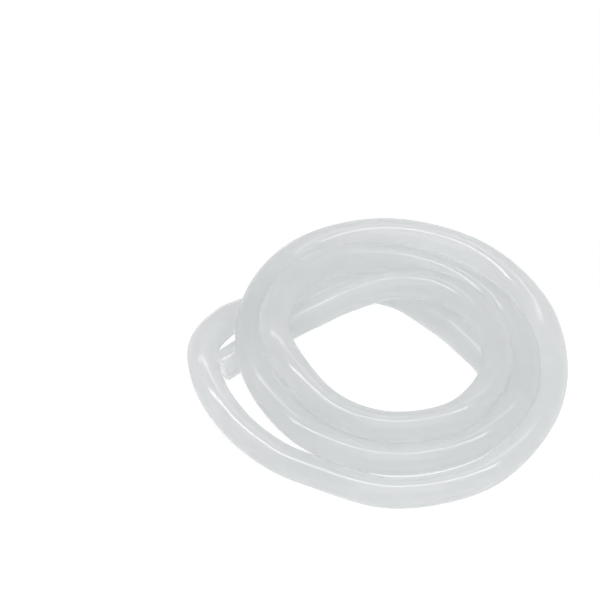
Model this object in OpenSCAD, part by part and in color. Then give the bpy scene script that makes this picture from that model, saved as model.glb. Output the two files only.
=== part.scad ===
// Silicone tubing coil: one length of soft laboratory tubing, wound by hand and laid down flat.
// Millimetres. Z is up and the coil lies on Z = 0, with the origin under the middle of its box.
// Clock hours name places around the coil as seen from above: 12 is +Y, 3 is +X.

/* [Tubing] */
// Bore of the tubing
tube_id = 6; // [4:0.5:8]
// Thickness of the tubing wall
wall = 1.5; // [1:0.25:2.5]

/* [Coil] */
// Width of the clear eye that the turns are wound around
eye_d = 48; // [44:1:72]
// Straight length of tubing behind each cut end
end_length = 10; // [6:1:14]

/* [Smoothness] */
// Rings of the tube from one station of the route to the next
rings_per_station = 3; // [2:1:3]
// Flat sides of the tube's outer skin
outer_sides = 16; // [12:4:16]

/* [Hidden] */

tube_od = tube_id + 2 * wall;
inner_sides = 12;
end_facets = 48;

// A swept skin has flat sides, so it runs just inside the round outer end and just outside the bore.
skin_step = 0.02;
// How far the swept tube reaches into each straight end
end_overlap = 0.5;
// How far a cutting cylinder passes the mouth that it opens
cut_past = 1;

// The lay of the tube from its first cut end to its last, turn by turn.
// Each station is [clock hour, lane, layer]. The lane is the distance of the tube's centre line
// outside the eye and the layer its height over the table, both in tube diameters.
// Hours go on counting past 12, one turn after the other.
route = [
    // First end, its cut edge on the table, rising under the top turns into the inner turn
    [-2.7, 2.0, 0.72], [-2.2, 1.07, 1.02], [-1.6, 0.5, 1.17], [-1, 0.28, 1.32],
    // Inner turn, on top all the way round
    [0, 0.27, 1.55], [1, 0.54, 1.52], [2, 0.64, 1.53], [3, 0.73, 1.65], [4, 1.06, 1.82], [5, 1.4, 1.85],
    [6, 1.23, 1.75], [7, 0.96, 1.8], [8, 0.87, 2.18], [9, 1.1, 2.4], [10, 1.14, 2.38], [11, 1.24, 2.16],
    // Middle turn, down into the groove on the right and up over the first end on the left
    [12, 1.36, 1.7], [13, 1.6, 1.15], [14, 1.62, 1.0], [15, 1.65, 1.1], [16, 1.94, 1.27], [17, 2.2, 1.22],
    [18, 2.16, 1.25], [19, 2.02, 1.45], [20, 1.82, 1.6], [21, 1.85, 1.72], [22, 2.08, 1.88], [23, 2.54, 1.72],
    // Outer turn, down to the table at the right and wide at the left, over the first end
    [24, 2.8, 1.5], [25, 2.93, 1.1], [26, 2.77, 0.75], [27, 2.57, 0.5], [28, 2.62, 0.5], [29, 2.96, 0.5],
    [30, 2.95, 0.5], [31, 2.6, 0.5], [31.5, 2.78, 0.6], [32, 3.07, 0.9], [32.5, 3.33, 1.27],
    [33, 3.38, 1.46], [33.5, 2.96, 1.2], [34, 2.56, 0.68], [35, 1.97, 0.5],
    // Last part, on the table and under the other turns, to the second end
    [36, 1.05, 0.5], [37, 0.26, 0.5], [38, 0.14, 0.5], [39, 0.62, 0.5], [40, 1.08, 0.5], [41, 1.15, 0.5],
    [42, 1.05, 0.5], [43, 1.0, 0.5], [43.8, 1.0, 0.5], [44.4, 1.02, 0.5]
];

// Centre of the tube at one station of the route
function station_point(station) =
    let (radius = eye_d / 2 + station[1] * tube_od)
    [radius * sin(30 * station[0]), radius * cos(30 * station[0]), station[2] * tube_od];

// Point a share t of the way from b to c on the smooth curve through a, b, c and d
function curve_point(a, b, c, d, t) =
    let (
        leave = (c - a) / 2,
        arrive = (d - b) / 2
    )
    (2 * pow(t, 3) - 3 * t * t + 1) * b + (pow(t, 3) - 2 * t * t + t) * leave
        + (3 * t * t - 2 * pow(t, 3)) * c + (pow(t, 3) - t * t) * arrive;

// The same point, held up where the curve would dip into the table
function on_table(point) = [point[0], point[1], max(point[2], tube_od / 2)];

function unit(v) = v / norm(v);
function level(v) = [v[0], v[1], 0];

stations = [for (station = route) station_point(station)];
last = len(stations) - 1;
// One station more beyond each end, so that the curve ends straight
before = 2 * stations[0] - stations[1];
beyond = 2 * stations[last] - stations[last - 1];
guides = concat([before], stations, [beyond]);

laid = concat(
    [for (i = [0:last - 1], k = [0:rings_per_station - 1])
        on_table(curve_point(guides[i], guides[i + 1], guides[i + 2], guides[i + 3],
                             k / rings_per_station))],
    [on_table(stations[last])]
);

// Middle of the laid coil's box, which goes over the origin
mid_x = (max([for (p = laid) p[0]]) + min([for (p = laid) p[0]])) / 2;
mid_y = (max([for (p = laid) p[1]]) + min([for (p = laid) p[1]])) / 2;
path = [for (p = laid) p - [mid_x, mid_y, 0]];
path_last = len(path) - 1;

// Directions in which the two cut ends point: the first slopes down to the table, the last lies on it
first_heading = unit(stations[0] - stations[1]);
last_heading = unit(level(path[path_last] - path[path_last - 1]));

// Way of the tube at one point of its path
function way(i) =
    i == 0 ? -first_heading
    : i == path_last ? last_heading
    : unit(path[i + 1] - path[i - 1]);

// Corners of a ring of the given radius around one point of the path
function ring(i, radius, sides) =
    let (
        side = unit(cross(way(i), [0, 0, 1])),
        up = cross(side, way(i))
    )
    [for (k = [0:sides - 1])
        path[i] + radius * (cos(360 * k / sides) * side + sin(360 * k / sides) * up)];

// Two triangles for each flat side between ring i and the next, wound to face outwards
function skin_faces(first, i, sides) =
    [for (k = [0:sides - 1], half = [0, 1])
        let (
            a = first + i * sides + k,
            b = first + i * sides + (k + 1) % sides
        )
        half == 0 ? [a, b, b + sides] : [a, b + sides, a + sides]];

function flipped(faces) = [for (f = faces) [f[2], f[1], f[0]]];

// Ring-shaped end between the outer and the inner skin, which may have fewer sides
function end_faces(outer, inner, outer_count, inner_count) =
    concat(
        [for (k = [0:outer_count - 1])
            [outer + k,
             inner + round(k * inner_count / outer_count) % inner_count,
             outer + (k + 1) % outer_count]],
        [for (k = [0:outer_count - 1])
            let (
                here = round(k * inner_count / outer_count),
                next = round((k + 1) * inner_count / outer_count)
            )
            if (next > here)
                [outer + (k + 1) % outer_count, inner + here % inner_count, inner + next % inner_count]]
    );

module swept_tube() {
    rings = len(path);
    outer_radius = tube_od / 2 - skin_step;
    // The corners stand off so far that the flat sides stay outside the bore
    inner_radius = (tube_id / 2 + skin_step) / cos(180 / inner_sides);
    inner_start = rings * outer_sides;
    points = concat(
        [for (i = [0:path_last], p = ring(i, outer_radius, outer_sides)) p],
        [for (i = [0:path_last], p = ring(i, inner_radius, inner_sides)) p]
    );
    outer_skin = [for (i = [0:path_last - 1], f = skin_faces(0, i, outer_sides)) f];
    inner_skin = [for (i = [0:path_last - 1], f = skin_faces(inner_start, i, inner_sides)) f];
    first_end = end_faces(0, inner_start, outer_sides, inner_sides);
    last_end = end_faces(path_last * outer_sides, inner_start + path_last * inner_sides,
                         outer_sides, inner_sides);
    polyhedron(
        points = points,
        faces = concat(outer_skin, flipped(inner_skin), first_end, flipped(last_end)),
        convexity = 10
    );
}

// Straight round end with its true bore, from just inside the swept tube out to the cut
module cut_end(start, heading) {
    translate(start)
        rotate([0, acos(heading[2]), atan2(heading[1], heading[0])])
            translate([0, 0, -end_overlap])
                difference() {
                    cylinder(h = end_length + end_overlap, r = tube_od / 2, $fn = end_facets);
                    translate([0, 0, -cut_past])
                        cylinder(h = end_length + end_overlap + 2 * cut_past, r = tube_id / 2, $fn = end_facets);
                }
}

module tubing() {
    color([0.84, 0.86, 0.86])
        union() {
            swept_tube();
            cut_end(path[0], first_heading);
            cut_end(path[path_last], last_heading);
        }
}

tubing();
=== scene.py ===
import math

import bmesh
import bpy
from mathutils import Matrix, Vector


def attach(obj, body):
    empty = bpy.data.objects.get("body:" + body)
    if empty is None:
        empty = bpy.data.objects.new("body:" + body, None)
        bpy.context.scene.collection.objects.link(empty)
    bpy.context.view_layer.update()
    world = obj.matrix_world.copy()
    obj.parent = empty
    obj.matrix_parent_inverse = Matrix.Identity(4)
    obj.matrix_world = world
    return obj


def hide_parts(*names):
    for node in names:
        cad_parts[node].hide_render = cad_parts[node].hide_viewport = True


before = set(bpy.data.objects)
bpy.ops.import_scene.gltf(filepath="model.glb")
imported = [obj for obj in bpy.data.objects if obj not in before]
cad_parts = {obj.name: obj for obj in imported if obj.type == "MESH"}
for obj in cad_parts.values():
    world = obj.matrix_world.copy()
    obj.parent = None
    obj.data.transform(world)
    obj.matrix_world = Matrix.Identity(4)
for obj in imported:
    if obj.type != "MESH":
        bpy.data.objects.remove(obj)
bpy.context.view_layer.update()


# The view. The photograph looks down on the coil from the front with a long lens, so that the tube
# keeps its thickness from the front turns to the back ones. The coil lies right of and below the
# middle of the picture.
MM = 0.001
LOOK_DOWN = math.radians(44)
CAMERA_DISTANCE = 1.4
LOOK_AT = Vector((1.65 * MM, -2.33 * MM, 9 * MM))

scene = bpy.context.scene
camera_data = bpy.data.cameras.new("camera")
camera_data.sensor_width = 36
camera_data.lens = 289.3
camera_data.shift_x = -0.14
camera_data.shift_y = 0.11
camera_data.clip_start = 0.1
camera_data.clip_end = 20
camera = bpy.data.objects.new("camera", camera_data)
scene.collection.objects.link(camera)
camera.location = LOOK_AT + CAMERA_DISTANCE * Vector((0, -math.cos(LOOK_DOWN), math.sin(LOOK_DOWN)))
camera.rotation_euler = (math.pi / 2 - LOOK_DOWN, 0, 0)
scene.camera = camera


# The tubing. One extruded length of milky silicone rubber, 6 mm bore and 1.5 mm wall, cut square at
# both ends with a blade and wound by hand into a loose coil. It lies under its own weight.
BORE_RADIUS = 3 * MM
WALL = 1.5 * MM
TUBE_RADIUS = BORE_RADIUS + WALL
TUBE_WIDTH = 2 * TUBE_RADIUS
EYE_RADIUS = 24 * MM
STRAIGHT_END = 10 * MM
CUT_ROUNDING = 0.12 * MM
RINGS_PER_STATION = 8
RINGS_PER_END = 5
SIDES = 48

# Stations of the route in part.scad: clock hour, lane outside the eye and layer over the table,
# the last two in tube diameters. Hours 17 to 19 and 29 to 31 are moved by up to 0.6 mm, which
# narrows the gap between the two outer turns at the front.
ROUTE = [
    # First end, its cut edge on the table, rising under the top turns into the inner turn
    (-2.7, 2.0, 0.72), (-2.2, 1.07, 1.02), (-1.6, 0.5, 1.17), (-1, 0.28, 1.32),
    # Inner turn, on top all the way round
    (0, 0.27, 1.55), (1, 0.54, 1.52), (2, 0.64, 1.53), (3, 0.73, 1.65), (4, 1.06, 1.82), (5, 1.4, 1.85),
    (6, 1.23, 1.75), (7, 0.96, 1.8), (8, 0.87, 2.18), (9, 1.1, 2.4), (10, 1.14, 2.38), (11, 1.24, 2.16),
    # Middle turn, down into the groove on the right and up over the first end on the left
    (12, 1.36, 1.7), (13, 1.6, 1.15), (14, 1.62, 1.0), (15, 1.65, 1.1), (16, 1.94, 1.27), (17, 2.23, 1.26),
    (18, 2.22, 1.28), (19, 2.06, 1.46), (20, 1.82, 1.6), (21, 1.85, 1.72), (22, 2.08, 1.88), (23, 2.54, 1.72),
    # Outer turn, down to the table at the right and wide at the left, over the first end
    (24, 2.8, 1.5), (25, 2.93, 1.1), (26, 2.77, 0.75), (27, 2.57, 0.5), (28, 2.62, 0.5), (29, 2.93, 0.5),
    (30, 2.91, 0.5), (31, 2.58, 0.5), (31.5, 2.78, 0.6), (32, 3.07, 0.9), (32.5, 3.33, 1.27),
    (33, 3.38, 1.46), (33.5, 2.96, 1.2), (34, 2.56, 0.68), (35, 1.97, 0.5),
    # Last part, on the table and under the other turns, to the second end
    (36, 1.05, 0.5), (37, 0.26, 0.5), (38, 0.14, 0.5), (39, 0.62, 0.5), (40, 1.08, 0.5), (41, 1.15, 0.5),
    (42, 1.05, 0.5), (43, 1.0, 0.5), (43.8, 1.0, 0.5), (44.4, 1.02, 0.5),
]


def station_point(hour, lane, layer):
    radius = EYE_RADIUS + lane * TUBE_WIDTH
    angle = math.radians(30 * hour)
    return Vector((radius * math.sin(angle), radius * math.cos(angle), layer * TUBE_WIDTH))


def curve_point(a, b, c, d, t):
    """The point a share t of the way from b to c on the smooth curve through a, b, c and d."""
    leave = (c - a) / 2
    arrive = (d - b) / 2
    return ((2 * t**3 - 3 * t**2 + 1) * b + (t**3 - 2 * t**2 + t) * leave
            + (3 * t**2 - 2 * t**3) * c + (t**3 - t**2) * arrive)


stations = [station_point(*station) for station in ROUTE]
guides = [2 * stations[0] - stations[1]] + stations + [2 * stations[-1] - stations[-2]]
laid = []
for a, b, c, d in zip(guides, guides[1:], guides[2:], guides[3:]):
    laid += [curve_point(a, b, c, d, k / RINGS_PER_STATION) for k in range(RINGS_PER_STATION)]
laid.append(stations[-1])
# The table holds the tube up where the curve would dip into it.
for point in laid:
    point.z = max(point.z, TUBE_RADIUS)

# part.scad puts this point, the middle of its coil's box, over the origin.
BOX_MIDDLE = Vector((-3.65 * MM, -0.68 * MM, 0))
path = [point - BOX_MIDDLE for point in laid]

# The first end slopes down to the table and the last one lies on it.
first_heading = (stations[0] - stations[1]).normalized()
last_heading = path[-1] - path[-2]
last_heading.z = 0
last_heading.normalize()
end_step = STRAIGHT_END / RINGS_PER_END
first_end = [path[0] + first_heading * end_step * k for k in range(RINGS_PER_END, 0, -1)]
last_end = [path[-1] + last_heading * end_step * k for k in range(1, RINGS_PER_END + 1)]
path = first_end + path + last_end
ways = [(after - before).normalized() for before, after in zip(path, path[2:])]
ways = [-first_heading] + ways + [last_heading]

bm = bmesh.new()
# Where each corner lies on the skin, in metres: along the tube and round it
on_skin = bm.verts.layers.float_vector.new("skin")


def tube_ring(centre, way, radius, travelled):
    """One ring of corners round the centre line, starting from the underside."""
    side = way.cross(Vector((0, 0, 1))).normalized()
    up = side.cross(way)
    ring = []
    for k in range(SIDES):
        angle = 2 * math.pi * k / SIDES
        across = radius * math.sin(angle)
        down = radius * math.cos(angle)
        corner = bm.verts.new(centre + across * side - down * up)
        corner[on_skin] = (travelled, across, down)
        ring.append(corner)
    return ring


def join_rings(near, far):
    for k in range(SIDES):
        bm.faces.new([near[k - 1], near[k], far[k], far[k - 1]])


def round_wall(radius):
    """The skin of one radius, from the first cut end to the last."""
    rings = []
    travelled = 0.0
    for before, centre, way in zip(path[:1] + path, path, ways):
        travelled += (centre - before).length
        rings.append(tube_ring(centre, way, radius, travelled))
    for near, far in zip(rings, rings[1:]):
        join_rings(near, far)
    return rings


outer = round_wall(TUBE_RADIUS)
inner = round_wall(BORE_RADIUS)
join_rings(outer[0], inner[0])
join_rings(outer[-1], inner[-1])
bmesh.ops.recalc_face_normals(bm, faces=bm.faces)
# The blade leaves the four edges of the soft rubber a little blunt.
cut_edges = [bm.edges.get((ring[k - 1], ring[k]))
             for ring in (outer[0], inner[0], outer[-1], inner[-1]) for k in range(SIDES)]
bmesh.ops.bevel(bm, geom=cut_edges, offset=CUT_ROUNDING, segments=3, profile=0.5, affect="EDGES",
                material=-1)
for face in bm.faces:
    face.smooth = True
mesh = bpy.data.meshes.new("tubing_length")
bm.to_mesh(mesh)
bm.free()
tubing = bpy.data.objects.new("tubing_length", mesh)
scene.collection.objects.link(tubing)

silicone = bpy.data.materials.new("milky_silicone")
silicone.use_nodes = True
nodes = silicone.node_tree.nodes
link = silicone.node_tree.links.new
place = nodes.new("ShaderNodeTexCoord")


def patches(scale, detail, roughness, noise_from, noise_to, low, high):
    """A value that wanders between low and high over the rubber, with patches 1 / scale metres wide."""
    noise = nodes.new("ShaderNodeTexNoise")
    noise.inputs["Scale"].default_value = scale
    noise.inputs["Detail"].default_value = detail
    noise.inputs["Roughness"].default_value = roughness
    link(place.outputs["Object"], noise.inputs["Vector"])
    spread = nodes.new("ShaderNodeMapRange")
    spread.inputs["From Min"].default_value = noise_from
    spread.inputs["From Max"].default_value = noise_to
    spread.inputs["To Min"].default_value = low
    spread.inputs["To Max"].default_value = high
    link(noise.outputs[0], spread.inputs["Value"])
    return spread.outputs[0]


# Clear rubber with a smooth, slightly tacky skin, dulled in small patches by dust and handling
shader = nodes["Principled BSDF"]
shader.inputs["Base Color"].default_value = (0.985, 0.993, 0.996, 1)
shader.inputs["IOR"].default_value = 1.41
shader.inputs["Transmission Weight"].default_value = 0.7
shader.inputs["Coat Weight"].default_value = 1.0
shader.inputs["Coat Roughness"].default_value = 0.03
shader.inputs["Coat IOR"].default_value = 1.7
dullness = patches(scale=350, detail=5, roughness=0.65, noise_from=0.4, noise_to=0.75, low=0.05, high=0.2)
link(dullness, shader.inputs["Roughness"])

# Its milkiness passes light on without a clear view, a little more in some stretches than in others
milk = nodes.new("ShaderNodeBsdfTranslucent")
milk.inputs["Color"].default_value = (0.983, 0.99, 0.993, 1)
body = nodes.new("ShaderNodeMixShader")
milkiness = patches(scale=70, detail=3, roughness=0.5, noise_from=0.3, noise_to=0.7, low=0.59, high=0.65)
link(milkiness, body.inputs["Fac"])
link(shader.outputs[0], body.inputs[1])
link(milk.outputs[0], body.inputs[2])
link(body.outputs[0], nodes["Material Output"].inputs["Surface"])

# Faint lines along the tube, drawn by the extrusion die: about forty round it, each some 12 cm long
LINES_PER_METRE_ALONG = 8
LINES_PER_METRE_ROUND = 1400
skin_place = nodes.new("ShaderNodeAttribute")
skin_place.attribute_name = "skin"
stretched = nodes.new("ShaderNodeVectorMath")
stretched.operation = "MULTIPLY"
stretched.inputs[1].default_value = (LINES_PER_METRE_ALONG, LINES_PER_METRE_ROUND, LINES_PER_METRE_ROUND)
link(skin_place.outputs["Vector"], stretched.inputs[0])
die_lines = nodes.new("ShaderNodeTexNoise")
die_lines.inputs["Scale"].default_value = 1
die_lines.inputs["Detail"].default_value = 2
link(stretched.outputs[0], die_lines.inputs["Vector"])
relief = nodes.new("ShaderNodeBump")
relief.inputs["Strength"].default_value = 0.6
relief.inputs["Distance"].default_value = 0.01 * MM
link(die_lines.outputs[0], relief.inputs["Height"])
link(relief.outputs[0], shader.inputs["Normal"])
link(relief.outputs[0], shader.inputs["Coat Normal"])
mesh.materials.append(silicone)

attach(tubing, "root")
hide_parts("tubing")


# The table. A plain white studio table, far wider than the picture. It lights the tubing from below
# as white paint does, and where it is looked at it is white with a faint shadow.
TABLE_REACH = 6

floor_mesh = bpy.data.meshes.new("floor")
bm = bmesh.new()
bmesh.ops.create_grid(bm, x_segments=1, y_segments=1, size=TABLE_REACH)
bm.to_mesh(floor_mesh)
bm.free()
floor = bpy.data.objects.new("floor", floor_mesh)
scene.collection.objects.link(floor)


def show_to_viewers(tree, lighting, shown, surface):
    """Feeds the surface with what the camera, a reflection or a view through the tubing is shown,
    and with the lighting for all other rays."""
    rays = tree.nodes.new("ShaderNodeLightPath")
    viewer = rays.outputs["Is Camera Ray"]
    for kind in ("Is Glossy Ray", "Is Transmission Ray"):
        either = tree.nodes.new("ShaderNodeMath")
        either.operation = "MAXIMUM"
        tree.links.new(viewer, either.inputs[0])
        tree.links.new(rays.outputs[kind], either.inputs[1])
        viewer = either.outputs[0]
    choice = tree.nodes.new("ShaderNodeMixShader")
    tree.links.new(viewer, choice.inputs["Fac"])
    tree.links.new(lighting.outputs[0], choice.inputs[1])
    tree.links.new(shown.outputs[0], choice.inputs[2])
    tree.links.new(choice.outputs[0], surface)


white = bpy.data.materials.new("white_table")
white.use_nodes = True
tree = white.node_tree
tree.nodes.clear()
shown_white = tree.nodes.new("ShaderNodeEmission")
shown_white.inputs["Strength"].default_value = 0.78
shown_shade = tree.nodes.new("ShaderNodeBsdfDiffuse")
shown_shade.inputs["Color"].default_value = (0.35, 0.35, 0.35, 1)
shown = tree.nodes.new("ShaderNodeAddShader")
tree.links.new(shown_white.outputs[0], shown.inputs[0])
tree.links.new(shown_shade.outputs[0], shown.inputs[1])
paint = tree.nodes.new("ShaderNodeBsdfDiffuse")
paint.inputs["Color"].default_value = (0.92, 0.92, 0.92, 1)
output = tree.nodes.new("ShaderNodeOutputMaterial")
show_to_viewers(tree, paint, shown, output.inputs["Surface"])
floor_mesh.materials.append(white)


# The room. Even light from all sides, and a white backdrop behind the table. In reflections and
# through the tubing the room is a little darker than the backdrop that the camera sees.
ROOM_SHOWN = 0.8

world = bpy.data.worlds.new("studio")
scene.world = world
world.use_nodes = True
tree = world.node_tree
room = tree.nodes["Background"]
room.inputs["Color"].default_value = (1, 1, 1, 1)
room.inputs["Strength"].default_value = 0.51
backdrop = tree.nodes.new("ShaderNodeBackground")
backdrop.inputs["Color"].default_value = (1, 1, 1, 1)
rays = tree.nodes.new("ShaderNodeLightPath")
brightness = tree.nodes.new("ShaderNodeMath")
brightness.operation = "MULTIPLY_ADD"
brightness.inputs[1].default_value = 1 - ROOM_SHOWN
brightness.inputs[2].default_value = ROOM_SHOWN
tree.links.new(rays.outputs["Is Camera Ray"], brightness.inputs[0])
tree.links.new(brightness.outputs[0], backdrop.inputs["Strength"])
show_to_viewers(tree, room, backdrop, tree.nodes["World Output"].inputs["Surface"])

# Light passes many layers of tubing before it reaches the camera.
scene.cycles.max_bounces = 48
scene.cycles.transmission_bounces = 32
scene.cycles.diffuse_bounces = 24
scene.cycles.glossy_bounces = 16

scene.view_settings.view_transform = "Standard"


# The lamps. A large softbox over the camera lights the coil. Two narrow lamps, overhead and behind,
# don't light it. They only show in its glossy skin, as the thin bright lines along the strands.
LAMP_DISTANCE = 1.0


def softbox(name, azimuth, elevation, width, height, watts):
    data = bpy.data.lights.new(name, "AREA")
    data.shape = "RECTANGLE"
    data.size = width
    data.size_y = height
    data.energy = watts
    lamp = bpy.data.objects.new(name, data)
    scene.collection.objects.link(lamp)
    a = math.radians(azimuth)
    e = math.radians(elevation)
    back = Vector((math.sin(a) * math.cos(e), -math.cos(a) * math.cos(e), math.sin(e)))
    lamp.location = back * LAMP_DISTANCE
    lamp.rotation_mode = "QUATERNION"
    lamp.rotation_quaternion = (-back).to_track_quat("-Z", "Y")
    return lamp


softbox("key", azimuth=0, elevation=60, width=1.0, height=0.9, watts=2.6)
overhead = softbox("overhead", azimuth=0, elevation=91, width=1.6, height=0.16, watts=5.5)
behind = softbox("behind", azimuth=180, elevation=62, width=1.6, height=0.1, watts=1.8)
for lamp in (overhead, behind):
    lamp.visible_diffuse = False
    lamp.visible_transmission = False
